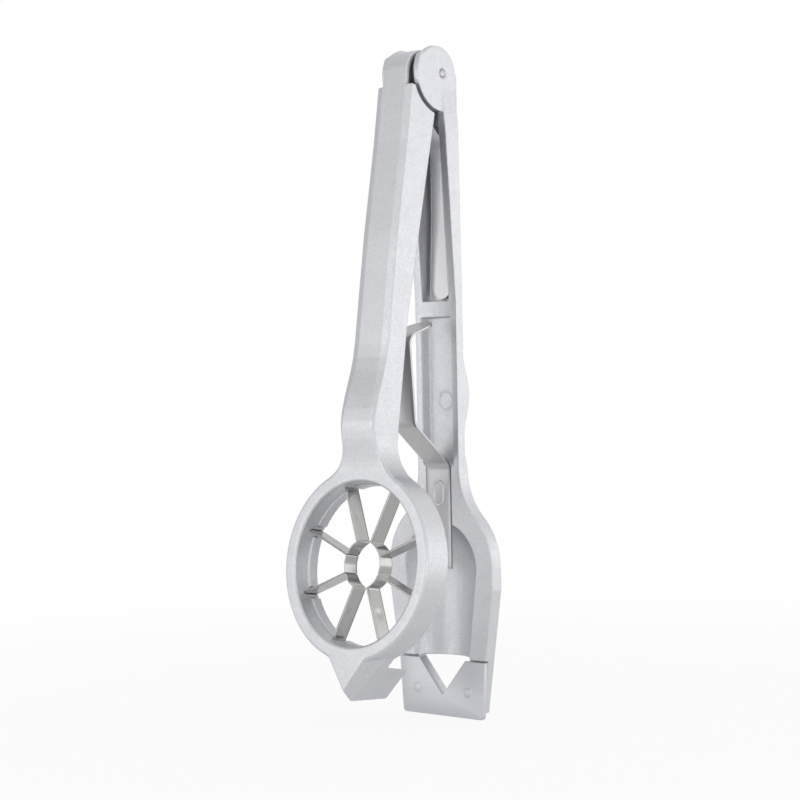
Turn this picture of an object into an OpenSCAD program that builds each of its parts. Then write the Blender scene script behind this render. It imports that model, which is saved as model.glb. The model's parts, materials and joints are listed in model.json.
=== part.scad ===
// Radish rose cutter: two cast aluminium levers on one hinge pin. The front lever carries a ring
// with a star of bent steel blades and a nose wedge, the rear lever a spoon with a seat for the
// radish and a notched steel plate at the toe. Millimetres, +Z up, +Y to the back. The origin is
// the middle of the toe edge of the notched plate. The front lever is drawn closed, then opened.

/* [Hinge] */
// Height of the hinge pin above the toe
pin_h = 169.3; // [160:0.2:180]
// How far the pin stands in front of the rear lever's inner face
pin_front = 2.65; // [2.2:0.05:3.2]
// Angle between the levers at rest
open_angle = 8.5; // [6:0.25:9]
// Diameter of the hinge pin
pin_d = 2.6; // [2.4:0.1:3.6]
// How far the pin's ends lie inside the cheeks' faces
pin_set_in = 0.4; // [0:0.1:0.8]
// Radial play of the pin in the knuckle
pin_play = 0.04; // [0.02:0.01:0.08]
// Width of the knuckle on the front lever
knuckle_w = 7.8; // [7:0.1:8.4]
// Play between the knuckle and each cheek
knuckle_play = 0.7; // [0.2:0.05:0.9]
// Thickness of each cheek
cheek_t = 1.8; // [1.6:0.1:2.2]
// Radius of the round front of the cheeks
cheek_r = 9.7; // [9:0.1:10.2]
// Radius of the round top of the cheeks
cheek_top_r = 7; // [6.4:0.1:7.2]
// Gap between the cheeks and the shoulders of the front lever
shoulder_gap = 0.8; // [0.5:0.1:1.2]
// Radius of the boss around the pin
boss_r = 4.4; // [3.8:0.1:4.8]
// Radius of the hood's front corner
hood_r = 6; // [5:0.1:6.4]
// How far the centre of that corner lies below the pin
hood_drop = 1; // [0.6:0.1:1.6]
// Wall of the hood
hood_wall = 1.6; // [1.2:0.1:2]
// Thickness of the web between the hood and the boss
web_t = 2.4; // [1.6:0.1:3.4]

/* [Rear lever] */
// Width of the rear bar
rear_w = 14.4; // [13.6:0.1:16]
// Depth of the rear bar below the strap
rear_depth = 5.65; // [5.2:0.05:6.4]
// Depth of the side faces below the strap
rear_side = 2.6; // [2.2:0.1:3]
// Width of the flat on the back
rear_back_w = 7.8; // [7:0.1:8.4]
// How far the inner edges lean forward at the hinge
rear_lean = 3; // [2.6:0.1:3.6]
// Height of the knee's crest above the toe
rear_knee_h = 85.1; // [82:0.1:90]
// Rise of the knee at the back
rear_knee = 2.2; // [1:0.1:3]
// Half length of the knee
rear_knee_l = 11; // [9:0.5:15]
// Width of the channel below the strap
channel_w = 8.8; // [8.2:0.1:9.4]
// How far each wall of the channel leans out at its mouth
channel_draft = 0.9; // [0:0.1:1.2]
// Depth of the pocket floor behind the inner face
pocket_depth = 4.45; // [4.2:0.05:4.6]
// Depth of the channel below the strap
channel_depth = 2.5; // [2.2:0.1:3]
// Height of the strap's upper edge above the toe
strap_top = 110; // [106:0.5:114]
// Height of the strap
strap_w = 4.3; // [3.5:0.1:5]

/* [Spoon and seat] */
// Width of the spoon
spoon_w = 36; // [33:0.5:38]
// Height of the centre of the spoon's round above the toe
spoon_h = 40; // [38:0.2:42]
// Height above which the spoon's sides are upright
spoon_low = 34; // [30:0.5:37]
// Width of the pad at the toe
pad_w = 26.2; // [25:0.1:28]
// Radius of the fillet between the bar and the spoon
spoon_fillet = 18; // [10:0.5:20]
// Thickness of the rim and the pad
rim_t = 3.7; // [3.2:0.1:4.4]
// Width of the radish seat
seat_w = 25; // [23:0.5:27]
// Depth of the radish seat
seat_depth = 8.5; // [7.5:0.1:9.5]
// Width of the seat at its lower end
seat_low_w = 19; // [17:0.5:21]
// Height of the centre of the seat's arch above the toe
seat_h = 39.1; // [37:0.2:41]
// Wall of the seat
seat_wall = 2.2; // [1.6:0.1:2.8]

/* [Notched plate] */
// Height of the notched plate
plate_h = 15; // [14:0.1:16]
// Thickness of the notched plate
plate_t = 1.2; // [0.8:0.1:1.6]
// Width of the plate at the toe
toe_w = 28; // [27:0.5:29]
// Width of the plate at its upper edge
plate_top_w = 29.8; // [29:0.1:30.4]
// Radius of the plate's lower corners
plate_corner = 1; // [0.6:0.1:2]
// Gap between the plate and the rim above it
plate_gap = 0.45; // [0.3:0.05:0.8]
// How far the pad ends above the toe
pad_lift = 1.5; // [1:0.1:2.5]
// Height of the notch's tip above the toe
notch_tip = 5.5; // [5:0.1:6.5]
// Half angle of the notch and the wedge
notch_angle = 40; // [38:0.5:42]
// How far the notch in the pad stands back from the plate's edge
notch_relief = 0.4; // [0.2:0.1:0.8]
// Distance between the two plate rivets
rivet_pitch = 17.6; // [16.6:0.1:18.4]
// Height of the plate rivets above the toe
rivet_h = 6.85; // [6:0.05:8]
// Diameter of the plate rivets
rivet_d = 3.5; // [3:0.1:4]
// How far rivet heads stand proud
rivet_proud = 0.25; // [0.15:0.05:0.4]
// Play around the rivets
rivet_play = 0.03; // [0.01:0.01:0.06]

/* [Front lever] */
// Distance of the front face ahead of the pin
front_y = 11.4; // [11:0.1:12]
// Width of the front bar
front_w = 12; // [11.4:0.1:12.6]
// Width of the flat on the front face
front_flat = 8; // [7:0.1:9]
// Depth of the long bevels beside the flat
front_bevel = 0.5; // [0.3:0.1:0.9]
// Depth of the bar from the front face to its back edges
front_depth = 6.3; // [6:0.1:7]
// How far the back edges reach towards the rear lever at the hinge
front_heel = 3.8; // [3:0.1:3.9]
// Height of the knee's crest above the toe
front_knee_h = 75.6; // [73:0.1:80]
// How far the front face leans forward above the knee
front_lean = 0.75; // [0:0.05:1.2]
// Rise of the knee above that
front_knee = 2.65; // [1.5:0.05:3.5]
// Length of the knee below its crest
front_knee_l = 13; // [10:0.5:14]
// Length of the knee above its crest
front_knee_up = 20; // [16:0.5:24]
// Width of the hollow at the back of the front bar
hollow_w = 9; // [8.8:0.1:9.4]
// Wall between the hollow and the front face
hollow_wall = 2.2; // [1.8:0.1:2.6]

/* [Ring and wedge] */
// Height of the ring's centre above the toe when closed
ring_h = 39.7; // [39:0.1:42]
// Diameter of the ring's hole
ring_hole = 42; // [40:0.5:44]
// Wall of the ring
ring_wall = 3.8; // [3.4:0.1:4.4]
// Depth of the ring
ring_depth = 8; // [7.4:0.1:9]
// Width of the chamfer around the hole
ring_chamfer = 0.5; // [0.3:0.1:1]
// Depth of the chamfer around the hole
ring_chamfer_depth = 0.5; // [0.3:0.1:1]
// Bevel around the ring's front edge
ring_bevel = 0.6; // [0.3:0.1:1]
// Rise of the lip at the back of the hole
lip = 0.5; // [0.3:0.1:0.8]
// Depth of the lip
lip_depth = 3; // [2.4:0.1:3.6]
// Width of the gap in the lip at each blade
lip_gap = 3; // [2.4:0.1:3.6]
// Radius of the fillet between the bar and the ring
ring_fillet = 11; // [8:0.5:12]
// How far the wedge reaches behind the pin when closed
wedge_reach = 5; // [4:0.1:5.6]
// Height of the wedge's flat top above the toe when closed
wedge_top = 14.1; // [13.4:0.1:14.6]
// Gap between the wedge and the notch, square to their faces
wedge_play = 0.3; // [0.2:0.05:0.6]
// Slope of the wedge's edge, which rises to the back
wedge_rise = 4.3; // [2:0.1:6]
// Height of the wedge's tip in the front face when closed
nose_tip = 7.7; // [7:0.1:9]
// Half angle of the nose in the front face
nose_angle = 36.5; // [32:0.5:40]
// Slope of the bevels behind that tip
prow_angle = 39; // [32:0.5:44]
// Radius of the fillets between the ring and the wedge
nose_fillet = 7; // [4:0.5:8]

/* [Blade star] */
// Number of blades
blade_count = 8; // [6:1:10]
// Thickness of the blade strip
blade_t = 0.25; // [0.2:0.05:0.5]
// Width of the blade strip
blade_w = 4.6; // [4:0.1:5]
// Distance of the blades behind the front face
blade_back = 3.1; // [2.6:0.1:3.4]
// Diameter of the tube in the middle
tube_d = 12.6; // [11:0.2:14]
// How far the blades enter the ring
blade_seat = 1.2; // [0.8:0.1:1.6]
// Gap between neighbouring blade strips
blade_gap = 0.04; // [0.02:0.01:0.08]
// Play around the blade ends in the ring
blade_play = 0.05; // [0.03:0.01:0.1]

/* [Springs] */
// Thickness of both spring strips
strip_t = 0.6; // [0.4:0.05:0.7]
// Width of the ejector strip
bow_w = 8; // [7.4:0.1:8.1]
// How far the ejector's bow stands off the inner face
bow_reach = 15; // [12:0.1:15.5]
// Drop from the strap to the upper corner of the bow
bow_top = 5.3; // [4:0.1:8]
// Length of the bow's crest
bow_crest = 23; // [18:0.2:26]
// How far the crest leans back at its lower end
bow_lean = 1.7; // [0:0.1:3]
// Drop from the strap to the foot of the bow
bow_foot = 39.2; // [36:0.1:42]
// How far the bow's free end stands off the inner face
bow_tip = 3.5; // [3:0.1:6]
// How far that end lies above the upper corner
bow_rise = 3.8; // [2:0.1:5]
// Bend radius of the ejector strip
bow_bend = 3; // [2:0.1:4]
// Height of the ejector's free end above the toe
bow_end = 39.1; // [34:0.1:44]
// Play beside the strip in its seat
tongue_play = 0.35; // [0.1:0.05:0.4]
// Height of the oval rivet above the toe
oval_h = 59.1; // [57:0.1:62]
// Width of the oval rivet
oval_w = 4; // [3:0.1:4.6]
// Length of the oval rivet
oval_l = 7; // [6:0.1:8]
// Length of the oval rivet in the bar
oval_seat = 2.6; // [2:0.1:3.2]
// Width of the return leaf
leaf_w = 6.6; // [6:0.1:7.2]
// Clearance of the return leaf at the pocket floor
leaf_clear = 0.25; // [0.15:0.05:0.4]
// Distance of the leaf's free end from the strap
leaf_end = 0.5; // [0.3:0.1:2]
// Depth of the leaf's root in the front lever
leaf_root = 6.5; // [5:0.1:7]
// Bend radius of the return leaf
leaf_bend = 8; // [6:0.5:9]
// Play around the leaf's root
leaf_play = 0.05; // [0.03:0.01:0.1]

/* [Hidden] */
$fn = 64;
aluminium = [0.78, 0.79, 0.81];
bright_steel = [0.72, 0.72, 0.71];
past = 1;                                   // how far a cut runs past a face
seam = 0.05;                                // how far a face lies inside the one beside it

// Planes and heights that several pieces share
inner_y = -plate_t / 2;                     // inner face of the rear lever
pin_y = inner_y - pin_front;
face_y = pin_y - front_y;                   // front face of the front lever
ring_back = face_y + ring_depth;
slot_half = knuckle_w / 2 + knuckle_play;
strap_low = strap_top - strap_w;
rim_low = plate_h + plate_gap;
bow_seat_top = strap_low - bow_foot;

// Hinge outlines: the cheeks' round front sits a little below the pin
cheek_drop = 0.4;
cheek_top_y = -2;
cheek_reach = cheek_r + cheek_drop;         // farthest from the pin
cheek_foot = 12;                            // how far the cheeks reach below the pin
cheek_back = cheek_top_r - 1.5;             // back edge of the cheeks, behind the pin
shoulder_r = cheek_reach + shoulder_gap;
shoulder_drop = 5.3;
shoulder_top = pin_h - shoulder_drop;
hood_h = pin_h - hood_drop;
knuckle_gap = 1.8;
knuckle_room = boss_r + knuckle_gap;        // free radius between the cheeks
block_drop = 14.5;
block_low = pin_h - block_drop;             // lower end of the solid below the boss

// Ring and wedge
hole_r = ring_hole / 2;
ring_r = hole_r + ring_wall;
ridge_h = notch_tip + wedge_play / sin(notch_angle);

// Seat: a round trough whose axis lies in front of the inner face
seat_r = (pow(seat_w / 2, 2) + pow(seat_depth, 2)) / (2 * seat_depth);
seat_axis = inner_y - (seat_r - seat_depth);
seat_low_r = norm([seat_low_w / 2, seat_r - seat_depth]);

blade_names = [for (i = [1:blade_count]) str("petal_blade_", i)];

// Smooth bump of the given height around a crest
function bump(h, crest, half, rise) =
    abs(h - crest) < half ? rise * (1 + cos(180 * (h - crest) / half)) / 2 : 0;

// Arc of radius r that rounds the corner b between a and c
function bend(a, b, c, r, steps = 6) =
    let (u = (a - b) / norm(a - b), v = (c - b) / norm(c - b),
         half = acos(u * v) / 2,
         centre = b + (u + v) / norm(u + v) * r / sin(half),
         from = b + u * r / tan(half) - centre,
         to = b + v * r / tan(half) - centre,
         turn = 180 - 2 * half)
    [for (i = [0:steps])
        centre + (from * sin(turn * (1 - i / steps)) + to * sin(turn * i / steps)) / sin(turn)];

// Middle line of a strip through its corners, each inner corner bent
function strip_line(corners, radii) = concat(
    [corners[0]],
    [for (i = [1:len(corners) - 2], p = bend(corners[i - 1], corners[i], corners[i + 1], radii[i - 1])) p],
    [corners[len(corners) - 1]]);

// Side of a line of points, moved square to it by d
function beside(line, d) =
    [for (i = [0:len(line) - 1])
        let (ahead = line[min(i + 1, len(line) - 1)] - line[max(i - 1, 0)])
        line[i] + d * [-ahead[1], ahead[0]] / norm(ahead)];

function reversed(list) = [for (i = [len(list) - 1:-1:0]) list[i]];

// Solid through rows of points, all with the same number of points, from the lowest row up
module loft(rows) {
    n = len(rows[0]);
    top = len(rows) - 1;
    polyhedron(
        points = [for (row = rows, p = row) p],
        faces = concat(
            [[for (i = [0:n - 1]) i]],
            [for (k = [0:top - 1], i = [0:n - 1], side = [0, 1])
                let (j = (i + 1) % n)
                side == 0 ? [k * n + i, (k + 1) * n + i, k * n + j]
                          : [k * n + j, (k + 1) * n + i, (k + 1) * n + j]],
            [[for (i = [n - 1:-1:0]) top * n + i]]));
}

// Outline drawn in Y and Z, given a width along X about the middle plane
module across(width) {
    rotate([90, 0, 90]) linear_extrude(height = width, center = true) children();
}

// Outline drawn in X and Z, given a depth along Y from one plane to another
module through(from_y, to_y) {
    translate([0, to_y, 0]) rotate([90, 0, 0]) linear_extrude(height = to_y - from_y) children();
}

module opened() {
    translate([0, pin_y, pin_h]) rotate([-open_angle, 0, 0]) translate([0, -pin_y, -pin_h]) children();
}

module both_sides() {
    children();
    mirror([1, 0, 0]) children();
}

// Oval with its long side along Z
module oval(play = 0) {
    w = oval_w + 2 * play;
    run = oval_l - oval_w;
    square([w, run], center = true);
    for (end = [-1, 1]) translate([0, end * run / 2]) circle(d = w);
}

// Notch or wedge outline: a V that stands on its tip
module vee(tip, top, angle = notch_angle) {
    half = (top - tip) * tan(angle);
    polygon([[0, tip], [half, top], [-half, top]]);
}

// Rear lever

rear_top = pin_h - 4;
lean_top = pin_h - 11.4;
narrow_low = pin_h - 14;                    // the bar narrows to the cheeks from here to its top
taper_low = pin_h - 25;                     // the bar's back leans in from here
taper_high = pin_h - 9;                     // to here
back_taper = 0.8;                           // by this much
side_top = 2.2;                             // depth of the side faces at the hinge
wear_h = strap_top + 23.6;                  // the pocket floor slopes up from here to the strap
wear_rise = 1.15;                           // by this much
bar_foot = seat_h + seat_r - 4;             // lower end of the bar, inside the spoon
spoon_r = spoon_w / 2;
spoon_neck = spoon_h + sqrt(pow(spoon_r + spoon_fillet, 2) - pow(rear_w / 2 + spoon_fillet, 2));
side_low = (spoon_neck + rear_knee_h - rear_knee_l) / 2; // the sides deepen to the rim's from here down
knee_steps = 6;

function rear_inner(h) = lookup(h, [[strap_top, inner_y], [lean_top, inner_y - rear_lean]]);
function rear_rise(h) = bump(h, rear_knee_h, rear_knee_l, rear_knee);
function rear_back(h) =
    inner_y + rear_depth + rear_rise(h) - lookup(h, [[taper_low, 0], [taper_high, back_taper]]);
function rear_side_y(h) =
    inner_y + rear_rise(h)
    + lookup(h, [[spoon_neck, rim_t - seam], [side_low, rear_side], [strap_top, rear_side],
                 [lean_top, side_top]]);
function rear_half(h) =
    lookup(h, [[narrow_low, rear_w / 2], [rear_top, slot_half + cheek_t]]);

function rear_row(h) =
    let (w = rear_half(h), b = rear_back_w / 2)
    [[-w, rear_inner(h), h], [w, rear_inner(h), h], [w, rear_side_y(h), h],
     [b, rear_back(h), h], [-b, rear_back(h), h], [-w, rear_side_y(h), h]];

rear_heights = concat(
    [bar_foot, spoon_neck, side_low],
    [for (i = [-knee_steps:knee_steps]) rear_knee_h + i * rear_knee_l / knee_steps],
    [strap_top, taper_low, narrow_low, lean_top, taper_high, rear_top]);

// Two rounds, the lower one cut off at the back and below
module cheek_outline() {
    reach = pin_y - cheek_reach;
    intersection() {
        translate([pin_y, pin_h - cheek_drop]) circle(r = cheek_r);
        polygon([[reach, pin_h + cheek_top_r / 2], [pin_y - cheek_top_r / 2, pin_h + cheek_top_r],
                 [pin_y + cheek_back, pin_h], [pin_y + cheek_back, pin_h - cheek_foot],
                 [reach, pin_h - cheek_foot]]);
    }
    translate([pin_y + cheek_top_y, pin_h]) circle(r = cheek_top_r);
}

module spoon_outline() {
    half = rear_w / 2;
    touch = spoon_r / (spoon_r + spoon_fillet);
    touch_x = (half + spoon_fillet) * touch;
    touch_h = spoon_h + (spoon_neck - spoon_h) * touch;
    translate([0, spoon_h]) circle(r = spoon_r);
    polygon([[-spoon_r, spoon_h], [-spoon_r, spoon_low], [-pad_w / 2, pad_lift], [pad_w / 2, pad_lift],
             [spoon_r, spoon_low], [spoon_r, spoon_h]]);
    difference() {
        polygon([[-half, spoon_neck], [half, spoon_neck], [touch_x, touch_h], [touch_x, spoon_h],
                 [-touch_x, spoon_h], [-touch_x, touch_h]]);
        for (side = [-1, 1])
            translate([side * (half + spoon_fillet), spoon_neck]) circle(r = spoon_fillet, $fn = 96);
    }
}

// Trough with a round arch at its top, grown by a wall
module seat_trough(wall, low) {
    r = seat_r + wall;
    translate([0, seat_axis, seat_h]) rotate_extrude($fn = 96) {
        intersection() {
            circle(r = r, $fn = 96);
            square([r, r]);
        }
        polygon([[0, 0], [r, 0], [seat_low_r + wall, low - seat_h], [0, low - seat_h]]);
    }
}

module pocket_outline() {
    floor_y = inner_y + pocket_depth;
    front = inner_y - rear_lean - 2 * past;
    polygon([[front, strap_top], [floor_y - wear_rise, strap_top], [floor_y, wear_h],
             [floor_y, taper_low], [floor_y - back_taper, taper_high],
             [floor_y - back_taper, pin_h + cheek_r], [front - cheek_r, pin_h + cheek_r],
             [front - cheek_r, lean_top]]);
}

// Channel seen from above, with leaning walls
module channel_section() {
    floor_half = channel_w / 2;
    mouth_half = floor_half + channel_draft;
    polygon([[-floor_half, channel_depth], [-mouth_half, 0], [-mouth_half, -past], [mouth_half, -past],
             [mouth_half, 0], [floor_half, channel_depth]]);
}

module rear_lever() {
    color(aluminium) difference() {
        union() {
            loft([for (h = rear_heights) rear_row(h)]);
            both_sides() translate([slot_half + cheek_t / 2, 0, 0]) across(cheek_t) cheek_outline();
            through(inner_y, inner_y + rim_t) spoon_outline();
            intersection() {
                seat_trough(seat_wall, rim_low);
                translate([-spoon_w, inner_y, 0]) cube([2 * spoon_w, spoon_w, pin_h]);
            }
        }
        // Seat, open at its lower end
        seat_trough(0, rim_low - past);
        // Recess for the plate, and its notch in the pad
        through(inner_y - past, inner_y + plate_t)
            translate([-spoon_w, -past]) square([2 * spoon_w, rim_low + past]);
        through(inner_y - past, inner_y + rim_t + past)
            vee(notch_tip - notch_relief / sin(notch_angle), rim_low);
        // Pocket above the strap and channel below it
        across(2 * slot_half) pocket_outline();
        translate([0, pin_y, pin_h]) rotate([0, 90, 0])
            cylinder(r = knuckle_room, h = 2 * slot_half, center = true);
        translate([0, inner_y, bow_seat_top]) linear_extrude(height = strap_low - bow_seat_top)
            channel_section();
        // Seat of the ejector strip
        translate([-bow_w / 2 - tongue_play, inner_y - past, seat_h])
            cube([bow_w + 2 * tongue_play, strip_t + past, bow_seat_top - seat_h]);
        // Holes
        translate([0, pin_y, pin_h]) rotate([0, 90, 0]) cylinder(d = pin_d, h = 2 * rear_w, center = true);
        through(inner_y, inner_y + strip_t + oval_seat) translate([0, oval_h]) oval(rivet_play);
        for (side = [-1, 1])
            translate([side * rivet_pitch / 2, inner_y + rim_t / 2, rivet_h]) rotate([90, 0, 0])
                cylinder(d = rivet_d + 2 * rivet_play, h = 2 * rim_t, center = true);
    }
}

// Front lever, drawn closed

front_top = shoulder_top;
front_foot = ring_h + hole_r;
heel_low = front_knee_h + front_knee_up + 8; // the back edges lean to the rear lever from here
heel_high = pin_h - 12;                     // to here
lean_low = pin_h - 45;                      // the front face leans forward from lean_high to here
lean_high = pin_h - 20;

// The bar widens to the ring below neck_h along a fillet that runs into the ring at neck_low
neck_r = ring_r - seam;
neck_h = ring_h + sqrt(pow(neck_r + ring_fillet, 2) - pow(front_w / 2 + ring_fillet, 2));
neck_low = ring_h + (neck_h - ring_h) * neck_r / (neck_r + ring_fillet);
neck_steps = 8;

function front_lean_at(h) =
    lookup(h, [[front_foot, -seam], [front_knee_h, front_lean], [lean_low, front_lean], [lean_high, 0]]);
function front_face(h) =
    face_y - front_lean_at(h)
    - bump(h, front_knee_h, h < front_knee_h ? front_knee_l : front_knee_up, front_knee);
function front_edge(h) =
    face_y + lookup(h, [[front_foot, ring_depth - seam], [neck_h, front_depth], [heel_low, front_depth],
                        [heel_high, front_depth + front_heel]]);

// Turn of the fillet's side away from the bar's
function neck_turn(h) = asin(max(0, neck_h - max(h, neck_low)) / ring_fillet);
function front_half(h) = front_w / 2 + ring_fillet * (1 - cos(neck_turn(h)));
function flat_half(h) =
    h < neck_h ? front_half(h) - ring_bevel / cos(neck_turn(h)) :
    lookup(h, [[neck_h, front_w / 2 - ring_bevel], [front_knee_h + front_knee_l, front_flat / 2]]);

function front_row(h) =
    let (w = front_half(h), f = flat_half(h), y = front_face(h))
    [[-f, y, h], [f, y, h], [w, y + front_bevel, h],
     [w, front_edge(h), h], [-w, front_edge(h), h], [-w, y + front_bevel, h]];

front_heights = concat(
    [front_foot],
    [for (i = [neck_steps:-1:0]) neck_h - ring_fillet * sin(neck_turn(neck_low) * i / neck_steps)],
    [for (i = [1 - knee_steps:0])
        let (h = front_knee_h + i * front_knee_l / knee_steps) if (h > neck_h + past) h],
    [for (i = [1:knee_steps]) front_knee_h + i * front_knee_up / knee_steps],
    [heel_low, lean_low, lean_high, heel_high, front_top]);

// Hood over the hinge: flat front, round corner, sloping top that ends on the pin's round
module hood_outline(inset = 0) {
    corner = hood_r - inset;
    crown = boss_r + hood_wall - inset;
    corner_y = face_y + hood_r;
    polygon([[corner_y - corner, hood_h], [corner_y, hood_h + corner], [pin_y, pin_h + crown],
             [pin_y, block_low + past], [corner_y - corner, block_low + past]]);
    translate([corner_y, hood_h]) circle(r = corner);
    translate([pin_y, pin_h]) circle(r = crown);
}

// Room in the hood, in front of the boss and above the block
module hood_room() {
    corner = hood_r - hood_wall;
    corner_y = face_y + hood_r;
    difference() {
        union() {
            translate([corner_y, hood_h]) circle(r = corner);
            polygon([[corner_y - corner, hood_h], [corner_y, hood_h + corner],
                     [pin_y - boss_r / 2, hood_h + corner], [pin_y - boss_r / 2, shoulder_top],
                     [corner_y - corner, shoulder_top]]);
        }
        translate([pin_y, pin_h]) circle(r = boss_r);
    }
}

module knuckle() {
    across(knuckle_w) {
        difference() {
            hood_outline();
            hood_room();
            translate([pin_y, block_low]) square([front_y, pin_h - block_low]);
        }
        translate([pin_y, pin_h]) circle(r = boss_r);
    }
    across(web_t) difference() {
        hood_outline(hood_wall / 2);
        translate([pin_y, block_low]) square([front_y, pin_h - block_low]);
    }
}

// Ring with a bevel around its front edge
module ring() {
    translate([0, face_y, ring_h]) rotate([-90, 0, 0]) rotate_extrude($fn = 128)
        polygon([[0, 0], [ring_r - ring_bevel, 0], [ring_r, ring_bevel], [ring_r, ring_depth],
                 [0, ring_depth]]);
}

// Fillets that lead from the ring to the wedge, bevelled at the front as the ring is
module nose_fillets() {
    out = [cos(nose_angle), -sin(nose_angle)];
    along = [sin(nose_angle), cos(nose_angle)];
    drop = ring_h - nose_tip;
    off = nose_fillet - seam;
    far = drop * cos(nose_angle)
          - sqrt(pow(ring_r + nose_fillet, 2) - pow(off + drop * sin(nose_angle), 2));
    tip = [0, nose_tip];
    centre = tip + off * out + far * along;
    ring_touch = [0, ring_h] + (centre - [0, ring_h]) * ring_r / (ring_r + nose_fillet);
    both_sides() difference() {
        through(face_y + seam, ring_back - seam) difference() {
            polygon([tip + far * along - seam * out, centre, ring_touch,
                     [0, ring_h - (ring_r + hole_r) / 2]]);
            translate(centre) circle(r = nose_fillet);
        }
        translate([centre[0], face_y, centre[1]]) rotate([-90, 0, 0])
            cylinder(r1 = nose_fillet + ring_bevel, r2 = nose_fillet, h = ring_bevel);
    }
}

// Hole of the ring: a chamfer at the front, a lip at the back
module ring_bore() {
    translate([0, face_y, ring_h]) rotate([-90, 0, 0]) {
        translate([0, 0, -front_y]) cylinder(r = hole_r, h = ring_depth - lip_depth + front_y, $fn = 128);
        cylinder(r = hole_r - lip, h = ring_depth + past, $fn = 128);
        slope = ring_chamfer / ring_chamfer_depth;
        translate([0, 0, -past]) cylinder(r1 = hole_r + ring_chamfer + past * slope, r2 = hole_r,
                                          h = ring_chamfer_depth + past, $fn = 128);
    }
}

// Nose below the ring: a wedge whose edge rises to the back, with bevels behind its tip in the front
// face, cut to a side outline with a flat top behind the ring
module nose() {
    top = ring_h - hole_r;
    back = pin_y + wedge_reach;
    prow_half = atan(tan(nose_angle) / cos(prow_angle));
    intersection() {
        translate([0, inner_y, ridge_h]) rotate([wedge_rise, 0, 0])
            through(-ring_hole, ring_hole) vee(0, top);
        translate([0, face_y, nose_tip]) rotate([-prow_angle, 0, 0])
            through(-ring_hole, ring_hole) vee(0, top, prow_half);
        across(ring_hole)
            polygon([[face_y, 0], [face_y, top], [ring_back, top], [ring_back, wedge_top], [back, wedge_top],
                     [back, 0]]);
    }
}

module blade_slots() {
    slot = 2 * blade_t + blade_gap + 2 * blade_play;
    from_y = face_y + blade_back - blade_play;
    for (i = [0:blade_count - 1]) translate([0, 0, ring_h]) rotate([0, (i + 0.5) * 360 / blade_count, 0]) {
        translate([-slot / 2, from_y, tube_d / 2])
            cube([slot, ring_back - from_y + past, hole_r + blade_seat + blade_play - tube_d / 2]);
        translate([-lip_gap / 2, ring_back - lip_depth - past, hole_r - 2 * lip])
            cube([lip_gap, lip_depth + 2 * past, 2 * lip]);
    }
}

module front_lever() {
    color(aluminium) opened() difference() {
        union() {
            loft([for (h = front_heights) front_row(h)]);
            ring();
            nose_fillets();
            nose();
            knuckle();
        }
        ring_bore();
        // Hollow at the back of the bar, up to the block below the boss
        hollow_low = front_knee_h - front_knee_l;
        translate([-hollow_w / 2, face_y + hollow_wall, hollow_low])
            cube([hollow_w, ring_depth + front_heel, block_low - hollow_low]);
        // Room for the cheeks
        both_sides() translate([knuckle_w / 2, pin_y, pin_h]) {
            rotate([0, 90, 0]) cylinder(r = shoulder_r, h = front_w, $fn = 96);
            translate([0, -front_y - past, shoulder_top - pin_h])
                cube([front_w, front_y + shoulder_r, 2 * shoulder_r]);
        }
        translate([0, pin_y, pin_h]) rotate([0, 90, 0])
            cylinder(d = pin_d + 2 * pin_play, h = 2 * front_w, center = true);
        blade_slots();
        leaf_slot();
    }
}

// Blade star: each strip runs in from the ring, round the tube and out again

module sector(set_in) {
    half = 180 / blade_count;
    apex = set_in / sin(half);
    far = 2 * ring_r;
    polygon([[0, apex], [-far * sin(half), apex + far * cos(half)],
             [far * sin(half), apex + far * cos(half)]]);
}

module petal_blade(i) {
    end_r = hole_r + blade_seat;
    outer = tube_d / 2;
    color(bright_steel) opened() translate([0, face_y + blade_back, ring_h])
        rotate([0, i * 360 / blade_count, 0]) translate([0, blade_w, 0]) rotate([90, 0, 0])
        linear_extrude(height = blade_w) difference() {
            intersection() {
                difference() {
                    circle(r = end_r);
                    circle(r = outer - blade_t);
                }
                sector(blade_gap / 2);
            }
            difference() {
                intersection() {
                    circle(r = end_r + past);
                    sector(blade_gap / 2 + blade_t);
                }
                circle(r = outer);
            }
        }
}

// Hinge pin

module hinge_pin() {
    color(bright_steel) translate([0, pin_y, pin_h]) rotate([0, 90, 0])
        cylinder(d = pin_d, h = 2 * (slot_half + cheek_t - pin_set_in), center = true);
}

// Springs, both bent from strip

// Outline of a strip seen from the side
module strip_outline(line) {
    polygon(concat(beside(line, strip_t / 2), reversed(beside(line, -strip_t / 2))));
}

// Corners of the return leaf, from its root below the boss to its free end in the pocket
leaf_floor = inner_y + pocket_depth - leaf_clear - strip_t / 2;
leaf_exit = [pin_y - 2.7, pin_h - 11.2];    // where the leaf leaves the front lever
leaf_touch = 0.2;                           // how far its knee stands off the pocket floor's line
leaf_slant = [1, -1] / sqrt(2);
leaf_knee = leaf_exit + leaf_slant * (leaf_floor - leaf_touch - leaf_exit[0]) * sqrt(2);
leaf_corners = [leaf_exit - leaf_slant * leaf_root, leaf_knee, [leaf_floor, wear_h],
                [leaf_floor - wear_rise, strap_top + leaf_end]];
leaf_line = strip_line(leaf_corners, [leaf_bend, 10 * leaf_bend]);

module leaf_slot() {
    // The slot is cut where the leaf lies at rest, so it is turned back with the lever
    translate([0, pin_y, pin_h]) rotate([open_angle, 0, 0]) translate([0, -pin_y, -pin_h])
        translate([0, leaf_exit[0], leaf_exit[1]]) rotate([-45, 0, 0])
        translate([-leaf_w / 2 - leaf_play, -leaf_root - leaf_play, -strip_t / 2 - leaf_play])
        cube([leaf_w + 2 * leaf_play, 2 * leaf_root, strip_t + 2 * leaf_play]);
}

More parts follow.
